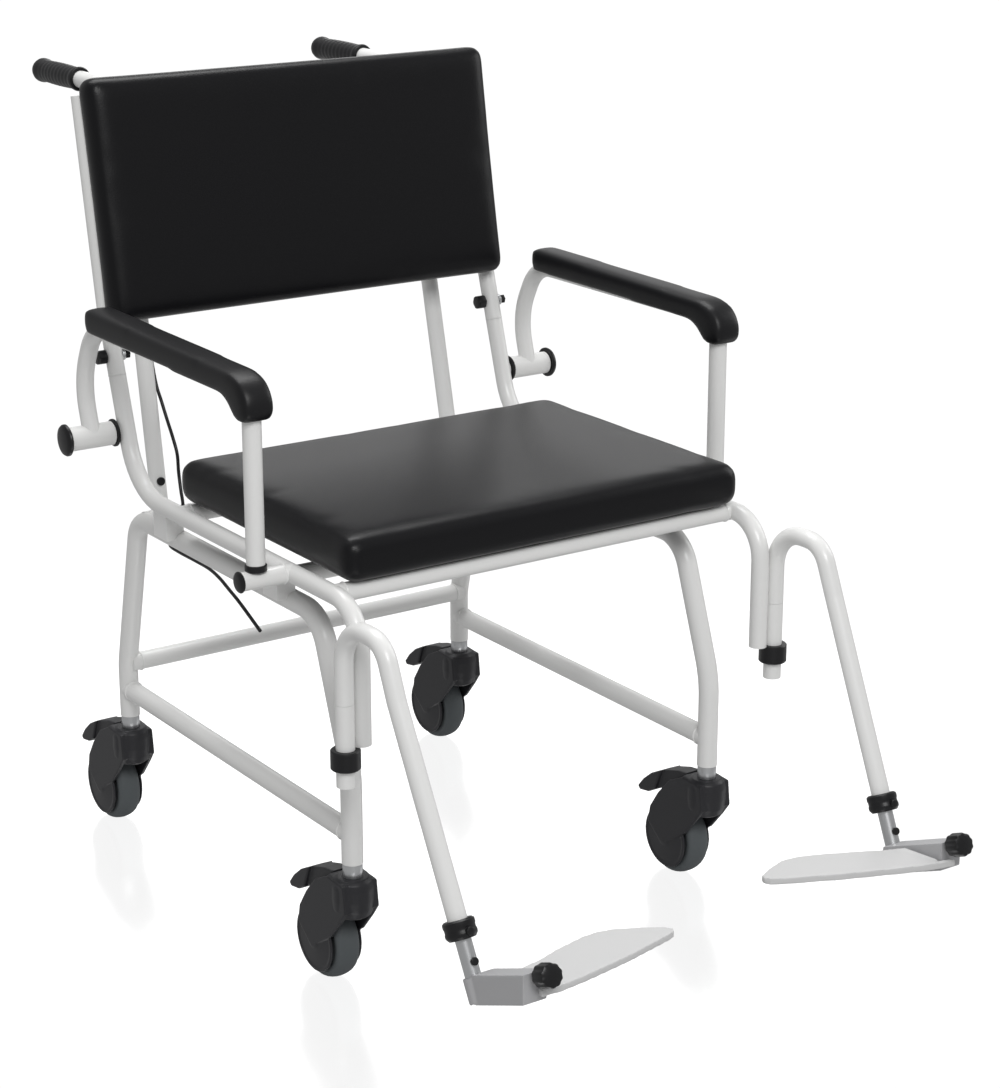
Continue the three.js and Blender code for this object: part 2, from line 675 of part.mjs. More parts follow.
/** Tall plan outline with a round front about the swivel axis. */
function roundedNose() {
  const plan = [[HOOD_R, 110], [-HOOD_R, 110], ...arc([0, 0], HOOD_R, 180, 360, 10)];
  const shape = new THREE.Shape(plan.map(([x, y]) => new THREE.Vector2(x, y)));
  return new THREE.ExtrudeGeometry(shape, { depth: 160, bevelEnabled: false });
}

function casterFork() {
  const outline = [
    [36, 149], [-22, 149], [-25, 142], [-25, 120], [-10, 92], [20, 52],
    ...arc(AXLE, 34, 205, 375, 9),
    [76, 92], [58, 124],
  ];
  const sides = profileX(outline, -FORK_HALF_WIDTH, FORK_HALF_WIDTH);
  const body = toGeometry(toSolid(sides).intersect(toSolid(roundedNose())));
  const room = TYRE_WIDTH / 2 + 2;
  const wheelWell = rod(v(-room, ...AXLE), v(room, ...AXLE), WHEEL_R + WHEEL_ROOM, 24);
  const floor = block([0, AXLE[0] + 30, 20], [2 * room, 100, 80]);
  const pedalWell = block([0, 44, 139], [2 * PEDAL_ROOT_HALF + 3, 68, 70]);
  const stem = rod(v(0, 0, 148), v(0, 0, LEG_END_Z - GAP), 8, 16);
  return join(cut(body, wheelWell, floor, pedalWell), stem);
}

function casterWheel() {
  const half = TYRE_WIDTH / 2;
  return turned([
    [0, -half + 2], [34, -half + 2], [36, -half], [46, -half], [49.2, -half + 2.6], [WHEEL_R, -half + 6],
    [WHEEL_R, half - 6], [49.2, half - 2.6], [46, half], [36, half], [34, half - 2], [0, half - 2],
  ], v(0, ...AXLE), v(1, 0, 0), 24);
}

function brakePedal() {
  const root = [[14, 121], [14, 137], [22, 146], [66, 140], [84, 132], [84, 109], [66, 113], [58, 116], [40, 117]];
  const tread = [[82, 133], [98, 123], [118, 106], [122, 99], [118, 94], [106, 94], [92, 106], [82, 110]];
  return join(
    profileX(root, -PEDAL_ROOT_HALF, PEDAL_ROOT_HALF),
    profileX(tread, -PEDAL_TREAD_HALF, PEDAL_TREAD_HALF),
  );
}

for (const [end, y] of Object.entries(CASTER_Y)) {
  for (const [name, side] of Object.entries(SIDES)) {
    const caster = new THREE.Group();
    caster.position.set(side * LEG_X, y, 0);
    add(`caster_fork_${end}_${name}`, casterFork(), CASTER_PLASTIC, caster);
    add(`caster_wheel_${end}_${name}`, casterWheel(), TYRE_RUBBER, caster);
    add(`brake_pedal_${end}_${name}`, brakePedal(), CASTER_PLASTIC, caster);
    group.add(caster);
  }
}

// ---- cable, from the push handle tube down to the rail and forward under it ----------------------
const CABLE_R = 2.2;
const CABLE_STEPS = 46;
const CABLE_ROUTE = [
  [-206, 372, 655], [-206, 357, 610], [-206, 343, 588], [-206, 328, 565], [-208, 311, 547],
  [-208, 301, 528], [-208, 299, 505], [-210, 291, 484], [-215, 277, 465], [-228, 264, 450],
  [-246, 250, 438], [-258, 232, 433.5], [-261, 205, 433], [-261, 160, 433], [-262, 122, 433],
  [-266, 88, 431], [-270, 55, 425], [-272, 28, 418], [-273, -23, 397],
];

const cableRoute = new THREE.CatmullRomCurve3(CABLE_ROUTE.map(([x, y, z]) => v(x, y, z)));
add('handle_cable', new THREE.ExtrudeGeometry(new THREE.Shape(ring(CABLE_R, 8)), {
  steps: CABLE_STEPS,
  extrudePath: cableRoute,
}), BLACK_PLASTIC);

export default group;
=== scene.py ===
"""Looks of an attendant-pushed wheelchair: white bent tubes, black upholstery, braked casters.

Metres, +Z up, the sitter faces -Y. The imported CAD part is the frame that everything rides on.
"""

import math

import bmesh
import bpy
from mathutils import Matrix, Vector


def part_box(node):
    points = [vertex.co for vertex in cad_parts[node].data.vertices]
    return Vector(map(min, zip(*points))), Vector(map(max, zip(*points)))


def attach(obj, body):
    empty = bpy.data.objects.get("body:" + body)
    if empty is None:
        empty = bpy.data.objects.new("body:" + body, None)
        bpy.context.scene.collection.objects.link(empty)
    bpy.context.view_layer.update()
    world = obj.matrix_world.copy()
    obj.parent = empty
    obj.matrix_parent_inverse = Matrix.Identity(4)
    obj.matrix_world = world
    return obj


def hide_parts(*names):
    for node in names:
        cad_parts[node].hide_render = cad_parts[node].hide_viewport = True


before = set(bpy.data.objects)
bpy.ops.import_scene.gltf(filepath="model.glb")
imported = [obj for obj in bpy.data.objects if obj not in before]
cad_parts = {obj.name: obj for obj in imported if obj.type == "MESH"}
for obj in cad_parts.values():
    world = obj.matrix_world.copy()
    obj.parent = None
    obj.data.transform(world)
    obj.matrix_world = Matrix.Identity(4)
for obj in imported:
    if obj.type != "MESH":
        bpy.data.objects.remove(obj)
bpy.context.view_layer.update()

SIDES = {"right": -1, "left": 1}
ENDS = {"front": -0.205, "rear": 0.3615}      # caster swivel axes, along Y

LEG_TUBE_R = 0.0127
CROSS_TUBE_R = 0.0117
FRAME_TUBE_R = 0.011
LEG_X = 0.261
SEAT_X = 0.284
HANDLE_X = 0.225                              # foot of the push handle tubes
HANDLE_TOP_X = 0.213                          # the tubes come in a little towards the grips
ARM_X = 0.330
HANGER_X = 0.3066
LOWER_RAIL_Z = 0.450
UPPER_RAIL_Z = 0.498
STRETCHER_Z = 0.2015
LEG_END_Z = 0.165

ARM_PIVOT = (0.294, 0.572)                    # Y, Z
ARM_POST_Y = -0.121
STUB_Z = 0.499
HANGER_Y = -0.271
HANGER_SEAM_Z = 0.392
BACK_SEAM = (0.3064, 0.640)                   # Y, Z
BACK_LEAN = math.radians(17)
PAD_LEAN = math.radians(10)
WHEEL_R = 0.050
TRAIL = 0.057
TYRE_HALF = 0.0155
SPIGOT_R = 0.009                              # spigots, hanger pins and extension tubes


# ---- camera -----------------------------------------------------------------------------------
def make_camera():
    azimuth = math.radians(-34.31)
    elevation = math.radians(17.65)
    back = Vector((
        math.sin(azimuth) * math.cos(elevation),
        -math.cos(azimuth) * math.cos(elevation),
        math.sin(elevation),
    ))
    data = bpy.data.cameras.new("camera")
    data.sensor_width = 36
    data.lens = 86.44
    camera = bpy.data.objects.new("camera", data)
    camera.rotation_mode = "QUATERNION"
    camera.location = (-1.677, -2.582, 1.429)
    camera.rotation_quaternion = (-back).to_track_quat("-Z", "Y")
    bpy.context.scene.collection.objects.link(camera)
    bpy.context.scene.camera = camera


make_camera()


# ---- materials --------------------------------------------------------------------------------
def principled(name, color, roughness, metallic=0.0, specular=0.5, coat=0.0):
    """Plain surface with a slightly rough clear coat where coat is above zero."""
    material = bpy.data.materials.new(name)
    material.use_nodes = True
    shader = material.node_tree.nodes["Principled BSDF"]
    shader.inputs["Base Color"].default_value = (*color, 1)
    shader.inputs["Roughness"].default_value = roughness
    shader.inputs["Metallic"].default_value = metallic
    shader.inputs["Specular IOR Level"].default_value = specular
    shader.inputs["Coat Weight"].default_value = coat
    shader.inputs["Coat Roughness"].default_value = 0.2
    return material


def add_relief(material, texture, output, scale, strength, distance):
    """Fine relief from a texture node, fixed to the piece's own coordinates."""
    tree = material.node_tree
    coords = tree.nodes.new("ShaderNodeTexCoord")
    pattern = tree.nodes.new(texture)
    pattern.inputs["Scale"].default_value = scale
    bump = tree.nodes.new("ShaderNodeBump")
    bump.inputs["Strength"].default_value = strength
    bump.inputs["Distance"].default_value = distance
    tree.links.new(coords.outputs["Object"], pattern.inputs["Vector"])
    tree.links.new(pattern.outputs[output], bump.inputs["Height"])
    tree.links.new(bump.outputs["Normal"], tree.nodes["Principled BSDF"].inputs["Normal"])


def add_bump(material, scale, strength, distance):
    """Fine noise relief."""
    add_relief(material, "ShaderNodeTexNoise", "Fac", scale, strength, distance)


def add_grain(material, scale, strength, distance):
    """Cell relief, like the grain pressed into upholstery vinyl."""
    add_relief(material, "ShaderNodeTexVoronoi", "Distance", scale, strength, distance)


WHITE = principled("white_coat", (0.80, 0.80, 0.79), 0.32, coat=0.25)
VINYL = principled("black_vinyl", (0.005, 0.005, 0.006), 0.34, specular=0.22)
FOAM = principled("arm_foam", (0.006, 0.006, 0.007), 0.42, specular=0.3)
BLACK = principled("black_plastic", (0.006, 0.006, 0.007), 0.36, specular=0.4)
HOUSING = principled("caster_plastic", (0.020, 0.020, 0.023), 0.42, specular=0.35)
TYRE = principled("tyre_rubber", (0.085, 0.095, 0.100), 0.6, specular=0.3)
PALE = principled("light_plastic", (0.60, 0.60, 0.60), 0.42)
ZINC = principled("zinc", (0.60, 0.61, 0.62), 0.35, metallic=0.9)
BLOCK = principled("block_plastic", (0.42, 0.42, 0.43), 0.42)

add_bump(WHITE, 900, 0.06, 0.0002)
add_grain(VINYL, 700, 0.25, 0.0004)
add_bump(FOAM, 500, 0.15, 0.0003)
add_bump(BLACK, 700, 0.08, 0.0002)
add_bump(HOUSING, 600, 0.15, 0.0003)
add_bump(TYRE, 500, 0.2, 0.0003)
add_bump(PALE, 500, 0.1, 0.0002)
add_bump(ZINC, 300, 0.08, 0.0002)
add_bump(BLOCK, 500, 0.1, 0.0002)


# ---- mesh helpers -----------------------------------------------------------------------------
def dress(obj, material, body, replaces=()):
    """Gives a finished piece its material, body and the CAD nodes it stands for."""
    obj.data.materials.clear()
    obj.data.materials.append(material)
    if obj.type == "MESH":
        for face in obj.data.polygons:
            face.use_smooth = True
        obj.data.set_sharp_from_angle(angle=math.radians(38))
    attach(obj, body)
    if replaces:
        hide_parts(*replaces)
    return obj


def new_object(name, mesh):
    obj = bpy.data.objects.new(name, mesh)
    bpy.context.scene.collection.objects.link(obj)
    return obj


def bend_points(corners, steps=10):
    """Line through the corners [x, y, z, bend radius], with each bend as an arc."""
    at = [Vector(c[:3]) for c in corners]
    points = [at[0]]
    for i in range(1, len(at) - 1):
        before = (at[i] - at[i - 1]).normalized()
        after = (at[i + 1] - at[i]).normalized()
        turn = before.angle(after)
        radius = corners[i][3]
        start = at[i] - before * radius * math.tan(turn / 2)
        inward = (after - before * math.cos(turn)) / math.sin(turn)
        for k in range(steps + 1):
            angle = turn * k / steps
            along = before * radius * math.sin(angle)
            points.append(start + along + inward * radius * (1 - math.cos(angle)))
    points.append(at[-1])
    return points


def sweep(bm, points, radius, sides=32):
    """Adds a closed round bar along the points."""
    tangents = []
    last = len(points) - 1
    for i in range(last + 1):
        ahead = points[min(i + 1, last)] - points[max(i - 1, 0)]
        tangents.append(ahead.normalized())
    across = tangents[0].orthogonal().normalized()
    rings = []
    for point, tangent in zip(points, tangents):
        across = (across - tangent * across.dot(tangent)).normalized()
        other = tangent.cross(across)
        ring = []
        for k in range(sides):
            angle = 2 * math.pi * k / sides
            ring.append(bm.verts.new(point + (across * math.cos(angle) + other * math.sin(angle)) * radius))
        rings.append(ring)
    for low, high in zip(rings, rings[1:]):
        for k in range(sides):
            n = (k + 1) % sides
            bm.faces.new((low[k], low[n], high[n], high[k]))
    bm.faces.new(list(reversed(rings[0])))
    bm.faces.new(rings[-1])


def lathe(bm, profile, start, axis, segments=48):
    """Adds a turned solid: profile is (radius, distance along the axis), from axis to axis."""
    axis = Vector(axis).normalized()
    start = Vector(start)
    across = axis.orthogonal().normalized()
    other = axis.cross(across)
    rings = []
    for radius, height in profile:
        centre = start + axis * height
        if radius < 1e-6:
            rings.append([bm.verts.new(centre)])
            continue
        ring = []
        for k in range(segments):
            angle = 2 * math.pi * k / segments
            ring.append(bm.verts.new(centre + (across * math.cos(angle) + other * math.sin(angle)) * radius))
        rings.append(ring)
    for low, high in zip(rings, rings[1:]):
        for k in range(segments):
            n = (k + 1) % segments
            if len(low) == 1:
                bm.faces.new((low[0], high[n], high[k]))
            elif len(high) == 1:
                bm.faces.new((low[k], low[n], high[0]))
            else:
                bm.faces.new((low[k], low[n], high[n], high[k]))


def from_parts(name, *parts):
    """One object from several closed parts; each part is a function that adds to a bmesh."""
    bm = bmesh.new()
    for part in parts:
        part(bm)
    bmesh.ops.recalc_face_normals(bm, faces=bm.faces[:])
    mesh = bpy.data.meshes.new(name)
    bm.to_mesh(mesh)
    bm.free()
    return new_object(name, mesh)


def bar(corners, radius, sides=32):
    return lambda bm: sweep(bm, bend_points(corners), radius, sides)


def turned(profile, start, axis, segments=48):
    return lambda bm: lathe(bm, profile, start, axis, segments)


def weld(point, axis, radius):
    """Low weld bead around a tube end."""
    steps = 40
    axis = Vector(axis).normalized()
    across = axis.orthogonal().normalized()
    other = axis.cross(across)
    circle = []
    for k in range(steps + 1):
        angle = 2 * math.pi * k / steps
        circle.append(Vector(point) + (across * math.cos(angle) + other * math.sin(angle)) * radius)
    return lambda bm: sweep(bm, circle, 0.0016, 8)


def disc(radius, depth, edge):
    """Profile of a disc with softened rims."""
    return [
        (0, 0), (radius - edge, 0), (radius - 0.3 * edge, 0.3 * edge), (radius, edge),
        (radius, depth - edge), (radius - 0.3 * edge, depth - 0.3 * edge), (radius - edge, depth), (0, depth),
    ]


def prism(outline, half, centre_x, edge=0.0015):
    """Outline in (Y, Z), extruded both ways along X with softened edges."""
    def build(bm):
        made = bmesh.new()
        low = [made.verts.new((centre_x - half, y, z)) for y, z in outline]
        high = [made.verts.new((centre_x + half, y, z)) for y, z in outline]
        made.faces.new(low)
        made.faces.new(list(reversed(high)))
        count = len(outline)
        for k in range(count):
            n = (k + 1) % count
            made.faces.new((low[n], low[k], high[k], high[n]))
        bmesh.ops.recalc_face_normals(made, faces=made.faces[:])
        rims = [e for e in made.edges if abs(e.verts[0].co.x - e.verts[1].co.x) < 1e-6]
        bmesh.ops.bevel(made, geom=rims, offset=edge, segments=3, affect="EDGES", profile=0.5)
        mesh = bpy.data.meshes.new("scratch")
        made.to_mesh(mesh)
        made.free()
        bm.from_mesh(mesh)
        bpy.data.meshes.remove(mesh)
    return build


def apply_modifiers(obj):
    """Bakes the modifier stack into the mesh."""
    graph = bpy.context.evaluated_depsgraph_get()
    mesh = bpy.data.meshes.new_from_object(obj.evaluated_get(graph))
    obj.modifiers.clear()
    obj.data = mesh
    return obj


def add_remesh(obj, voxel):
    remesh = obj.modifiers.new("remesh", "REMESH")
    remesh.mode = "VOXEL"
    remesh.voxel_size = voxel


def add_smooth(obj, passes):
    smooth = obj.modifiers.new("smooth", "SMOOTH")
    smooth.factor = 0.5
    smooth.iterations = passes


def moulded(obj, voxel, passes):
    """Fuses a piece into one skin with its edges rounded as if moulded."""
    add_remesh(obj, voxel)
    add_smooth(obj, passes)
    return apply_modifiers(obj)


def softened(name, node, voxel, passes):
    """Moulded copy of a CAD node."""
    return moulded(new_object(name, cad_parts[node].data.copy()), voxel, passes)


def leaning(x, start, angle, distance):
    """Point reached from start (Y, Z) at that distance up a line that leans back by the angle."""
    return Vector((x, start[0] + distance * math.sin(angle), start[1] + distance * math.cos(angle)))


# ---- lower frame ------------------------------------------------------------------------------
def leg_frame(name, side):
    x = side * LEG_X
    corners = [
        (x, ENDS["front"], LEG_END_Z),
        (x, ENDS["front"], 0.281, 0.150),
        (x, -0.1445, LOWER_RAIL_Z, 0.050),
        (x, 0.3105, LOWER_RAIL_Z, 0.036),
        (x, ENDS["rear"], 0.237, 0.090),
        (x, ENDS["rear"], LEG_END_Z),
    ]
    obj = from_parts(f"leg_frame_tube_{name}", bar(corners, LEG_TUBE_R))
    return dress(obj, WHITE, "frame", [f"leg_frame_{name}"])


def side_stretcher(name, side):
    x = side * LEG_X
    inset = LEG_TUBE_R + 0.001
    low = ENDS["front"] + inset
    high = ENDS["rear"] - inset
    obj = from_parts(
        f"side_stretcher_tube_{name}",
        bar([(x, ENDS["front"], STRETCHER_Z), (x, ENDS["rear"], STRETCHER_Z)], LEG_TUBE_R - 0.0002),
        weld((x, low, STRETCHER_Z), (0, 1, 0), LEG_TUBE_R - 0.0006),
        weld((x, high, STRETCHER_Z), (0, 1, 0), LEG_TUBE_R - 0.0006),
    )
    return dress(obj, WHITE, "frame", [f"side_stretcher_{name}"])


def cross_tube(node, half, y, z, radius):
    inset = half - LEG_TUBE_R - 0.001
    obj = from_parts(
        f"{node}_bar",
        bar([(-half, y, z), (half, y, z)], radius),
        weld((-inset, y, z), (1, 0, 0), radius - 0.0004),
        weld((inset, y, z), (1, 0, 0), radius - 0.0004),
    )
    return dress(obj, WHITE, "frame", [node])


for side_name, sign in SIDES.items():
    leg_frame(side_name, sign)
    side_stretcher(side_name, sign)
cross_tube("rear_cross_brace", LEG_X, 0.354, 0.240, CROSS_TUBE_R)
cross_tube("handle_cross_tube", LEG_X, 0.295, LOWER_RAIL_Z, CROSS_TUBE_R)
cross_tube("front_cross_tube", LEG_X, -0.003, LOWER_RAIL_Z, CROSS_TUBE_R)


# ---- push handles -----------------------------------------------------------------------------
HANDLE_FOOT = (0.3185, 0.437)                 # Y, Z
HANDLE_TOP_Y = 0.424
HANDLE_Z = 0.979
HANDLE_BEND_R = 0.062
GRIP_END_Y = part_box("push_grip_left")[1].y
GRIP_LENGTH = 0.122


def handle_tube(name, side):
    x = side * HANDLE_TOP_X
    foot_x = side * HANDLE_X
    corners = [
        (foot_x, *HANDLE_FOOT),
        (x, HANDLE_TOP_Y, HANDLE_Z, HANDLE_BEND_R),
        (x, GRIP_END_Y - 0.016, HANDLE_Z),
    ]
    obj = from_parts(f"handle_tube_{name}", bar(corners, FRAME_TUBE_R))
    dress(obj, WHITE, "frame", [f"push_handle_tube_{name}"])
    bolt = from_parts(
        f"handle_bolt_{name}",
        turned(disc(0.0055, 0.004, 0.001), (foot_x, 0.318, 0.491), (0, -1, 0.1), 24),
    )
    dress(bolt, BLACK, "frame")


def push_grip(name, side):
    """Rubber grip with a collar at each end and shallow ribs."""
    profile = [(0.0105, 0), (0.0148, 0.0008), (0.0158, 0.004), (0.0150, 0.009)]
    ribs = 9
    for k in range(ribs):
        along = 0.014 + k * 0.0098
        belly = 0.0143 + 0.0008 * math.sin(math.pi * k / (ribs - 1))
        profile.append((belly - 0.0006, along))
        profile.append((belly, along + 0.0022))
        profile.append((belly, along + 0.0066))
    profile += [(0.0148, 0.104), (0.0158, 0.108), (0.0158, 0.113)]
    profile += [(0.0140, 0.118), (0.0105, 0.1208), (0.0050, GRIP_LENGTH), (0, GRIP_LENGTH)]
    start = (side * HANDLE_TOP_X, GRIP_END_Y - GRIP_LENGTH, HANDLE_Z)
    obj = from_parts(f"grip_rubber_{name}", turned([(0, 0), *profile], start, (0, 1, 0), 40))
    return dress(obj, BLACK, "frame", [f"push_grip_{name}"])


for side_name, sign in SIDES.items():
    handle_tube(side_name, sign)
    push_grip(side_name, sign)


# ---- upper frame ------------------------------------------------------------------------------
BARREL_X = (0.301, 0.361)
STUB_END_X = 0.350
POST_BOTTOM_Z = 0.294
PIN_TOP_Z = HANGER_SEAM_Z + 0.040
DOWN_TUBE_Y = -0.269
PLATE_Y = (HANGER_Y + 0.003, HANGER_Y + 0.011)
PLATE_Z = (0.346, 0.386)


def seat_side(name, side):
    x = side * SEAT_X
    rise = BACK_SEAM[1] - UPPER_RAIL_Z
    corners = [
        (x, DOWN_TUBE_Y, 0.338),
        (x, DOWN_TUBE_Y, UPPER_RAIL_Z, 0.050),
        (x, BACK_SEAM[0] - rise * math.tan(BACK_LEAN), UPPER_RAIL_Z, 0.085),
        (x, *BACK_SEAM),
    ]
    spigot = [leaning(x, BACK_SEAM, BACK_LEAN, d)[:] for d in (-0.02, 0.06)]
    shaft = [(x, *ARM_PIVOT), (side * (BARREL_X[1] + 0.0005), *ARM_PIVOT)]
    stub = [(x, ARM_POST_Y, STUB_Z), (side * STUB_END_X, ARM_POST_Y, STUB_Z)]
    post_x = side * HANGER_X
    post = [(post_x, HANGER_Y, POST_BOTTOM_Z), (post_x, HANGER_Y, HANGER_SEAM_Z - 0.0003)]
    pin = [(post_x, HANGER_Y, HANGER_SEAM_Z - 0.002), (post_x, HANGER_Y, PIN_TOP_Z)]
    plate = [
        (PLATE_Y[0], PLATE_Z[0]),
        (PLATE_Y[1], PLATE_Z[0]),
        (PLATE_Y[1], PLATE_Z[1]),
        (PLATE_Y[0], PLATE_Z[1]),
    ]
    obj = from_parts(
        f"seat_side_tube_{name}",
        bar(corners, FRAME_TUBE_R),
        bar(spigot, SPIGOT_R, 24),
        bar(shaft, FRAME_TUBE_R, 32),
        bar(stub, FRAME_TUBE_R, 32),
        bar(post, FRAME_TUBE_R, 32),
        bar(pin, SPIGOT_R, 24),
        prism(plate, 0.013, side * (HANGER_X + SEAT_X) / 2, 0.001),
        weld((side * (SEAT_X + FRAME_TUBE_R), ARM_POST_Y, STUB_Z), (1, 0, 0), FRAME_TUBE_R - 0.0005),
        weld((side * (SEAT_X + FRAME_TUBE_R), *ARM_PIVOT), (1, 0, 0), FRAME_TUBE_R - 0.0005),
    )
    dress(obj, WHITE, "frame", [f"seat_side_{name}"])


def upper_trim(name, side):
    """Plastic bush at the armrest barrel, stub end cap, and collar on the footrest post."""
    ring = [(0.0112, 0), (0.0162, 0), (0.0175, 0.001), (0.0175, 0.003), (0.0165, 0.004), (0.0112, 0.004)]
    bush = from_parts(
        f"arm_bush_{name}",
        turned([(0, 0), *ring, (0, 0.004)], (side * (BARREL_X[0] - 0.0044), *ARM_PIVOT), (side, 0, 0)),
    )
    dress(bush, BLACK, "frame")
    dome = [
        (0, 0), (0.0118, 0), (0.0125, 0.001), (0.0125, 0.002), (0.0110, 0.0036), (0.0070, 0.0047), (0, 0.005),
    ]
    cap = from_parts(f"stub_cap_{name}", turned(dome, (side * STUB_END_X, ARM_POST_Y, STUB_Z), (side, 0, 0)))
    dress(cap, BLACK, "frame")
    collar = [(0, 0), (0.0160, 0), (0.0172, 0.0012), (0.0172, 0.0218), (0.0160, 0.023), (0, 0.023)]
    band = from_parts(f"post_collar_{name}", turned(collar, (side * HANGER_X, HANGER_Y, 0.315), (0, 0, 1)))
    dress(band, BLACK, "frame")


for side_name, sign in SIDES.items():
    seat_side(side_name, sign)
    upper_trim(side_name, sign)
cross_tube("seat_cross_tube_front", SEAT_X, -0.213, UPPER_RAIL_Z, FRAME_TUBE_R)
cross_tube("seat_cross_tube_rear", SEAT_X, 0.150, UPPER_RAIL_Z, FRAME_TUBE_R)


# ---- upholstery -------------------------------------------------------------------------------
SKIN_INSET = 0.003                            # a skin starts this much smaller, and may swell as much
SKIN_VOXEL = 0.006


def rounded_block(name, size, edge):
    """Box about the origin with rounded edges and corners."""
    bm = bmesh.new()
    bmesh.ops.create_cube(bm, size=1)
    bmesh.ops.scale(bm, vec=size, verts=bm.verts[:])
    bmesh.ops.bevel(bm, geom=bm.edges[:], offset=edge, segments=4, affect="EDGES", profile=0.5)
    mesh = bpy.data.meshes.new(name)
    bm.to_mesh(mesh)
    bm.free()
    return new_object(name, mesh)


def inflate(obj, voxel, limit):
    """Fine skin blown up a little by cloth pressure, before smoothing moved no more than the limit."""
    add_remesh(obj, voxel)
    apply_modifiers(obj)
    rest = [vertex.co.copy() for vertex in obj.data.vertices]
    cloth = obj.modifiers.new("cloth", "CLOTH")
    cloth.settings.effector_weights.gravity = 0
    cloth.settings.use_pressure = True
    cloth.settings.uniform_pressure_force = 4
    cloth.settings.tension_stiffness = 30
    cloth.settings.compression_stiffness = 30
    cloth.collision_settings.use_collision = False
    cloth.point_cache.frame_start = 1
    cloth.point_cache.frame_end = 20
    for step in range(1, 21):
        bpy.context.scene.frame_set(step)
    apply_modifiers(obj)
    bpy.context.scene.frame_set(1)
    for vertex, start in zip(obj.data.vertices, rest):
        moved = vertex.co - start
        if moved.length > limit:
            vertex.co = start + moved.normalized() * limit
    add_smooth(obj, 4)
    fine = obj.modifiers.new("fine", "SUBSURF")
    fine.levels = 1
    fine.render_levels = 1
    return apply_modifiers(obj)


def seat_cushion():
    low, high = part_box("seat_cushion")
    low.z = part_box("seat_board")[0].z          # the vinyl is pulled down over the edge of the board
    size = high - low
    inset = SKIN_INSET
    cushion = rounded_block("seat_cushion_vinyl", (size.x - inset, size.y - inset, size.z - inset), 0.016)
    inflate(cushion, SKIN_VOXEL, SKIN_INSET)
    cushion.location = (low + high) / 2
    dress(cushion, VINYL, "frame", ["seat_cushion"])


PAD_BOTTOM = (0.306, 0.703)
PAD_LENGTH = 0.309
PAD_THICKNESS = 0.046
PAD_HALF_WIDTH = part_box("back_pad")[1].x


def back_pad():
    inset = SKIN_INSET
    size = (2 * PAD_HALF_WIDTH - inset, PAD_LENGTH - inset, PAD_THICKNESS - inset)
    pad = rounded_block("back_pad_vinyl", size, 0.015)
    inflate(pad, SKIN_VOXEL, SKIN_INSET)
    middle = leaning(0, PAD_BOTTOM, PAD_LEAN, PAD_LENGTH / 2)
    pad.matrix_world = Matrix.Translation(middle) @ Matrix.Rotation(math.pi / 2 - PAD_LEAN, 4, "X")
    dress(pad, VINYL, "backrest", ["back_pad"])


def board_cover(node, body):
    """Black liner stapled over a board."""
    obj = new_object(f"{node}_liner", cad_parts[node].data.copy())
    dress(obj, BLACK, body, [node])


seat_cushion()
back_pad()
board_cover("seat_board", "frame")
board_cover("backboard", "backrest")


# ---- backrest tubes and knobs -----------------------------------------------------------------
def back_tube(name, side):
    x = side * SEAT_X
    bend = leaning(x, BACK_SEAM, BACK_LEAN, 0.086)
    top = leaning(x, (bend.y, bend.z), PAD_LEAN, 0.262)
    start = leaning(x, BACK_SEAM, BACK_LEAN, 0.0003)
    corners = [start[:], (*bend[:], 0.120), top[:]]
    lip = leaning(x, BACK_SEAM, BACK_LEAN, 0.002)
    axis = Vector((0, math.sin(BACK_LEAN), math.cos(BACK_LEAN)))
    obj = from_parts(
        f"back_tube_bar_{name}",
        bar(corners, FRAME_TUBE_R),
        weld(lip, axis, FRAME_TUBE_R - 0.0012),
    )
    dress(obj, WHITE, "backrest", [f"back_tube_{name}"])


def lobed_knob(radius, length, lobes, direction, start):
    """Fluted hand knob."""
    def build(bm):
        axis = Vector(direction).normalized()
        across = axis.orthogonal().normalized()
        other = axis.cross(across)
        rings = []
        steps = lobes * 8
        for share, height in ((0.80, 0), (0.96, 0.06), (1, 0.14), (1, 0.82), (0.94, 0.94), (0.74, 1)):
            ring = []
            for k in range(steps):
                angle = 2 * math.pi * k / steps
                r = radius * share * (1 - 0.07 * (1 - math.cos(lobes * angle)) / 2)
                offset = across * math.cos(angle) + other * math.sin(angle)
                ring.append(bm.verts.new(Vector(start) + axis * length * height + offset * r))
            rings.append(ring)
        for low, high in zip(rings, rings[1:]):
            for k in range(steps):
                n = (k + 1) % steps
                bm.faces.new((low[k], low[n], high[n], high[k]))
        bm.faces.new(rings[0])
        bm.faces.new(rings[-1])
    return build


def clamp_knob(name, side):
    at = leaning(side * SEAT_X, BACK_SEAM, BACK_LEAN, 0.026)
    face = at + Vector((-(FRAME_TUBE_R + 0.0003), 0, 0))
    screw = [(face + Vector((0.002, 0, 0)))[:], (face - Vector((0.002, 0, 0)))[:]]
    obj = from_parts(
        f"clamp_knob_{name}_moulding",
        lobed_knob(0.0092, 0.0128, 6, (-1, 0, 0), face),
        bar(screw, 0.003, 16),
    )
    dress(obj, BLACK, f"back_clamp_knob_{name}", [f"back_clamp_knob_{name}"])
    outer = at + Vector((FRAME_TUBE_R - 0.001, 0, 0))
    washer = from_parts(f"clamp_washer_{name}", turned(disc(0.0075, 0.0035, 0.0006), outer, (1, 0, 0), 32))
    dress(washer, ZINC, "backrest")
    nut_at = outer + Vector((0.0032, 0, 0))
    nut = from_parts(f"clamp_nut_{name}", turned(disc(0.0062, 0.0075, 0.001), nut_at, (1, 0, 0), 6))
    dress(nut, BLACK, "backrest")


for side_name, sign in SIDES.items():
    back_tube(side_name, sign)
    clamp_knob(side_name, sign)


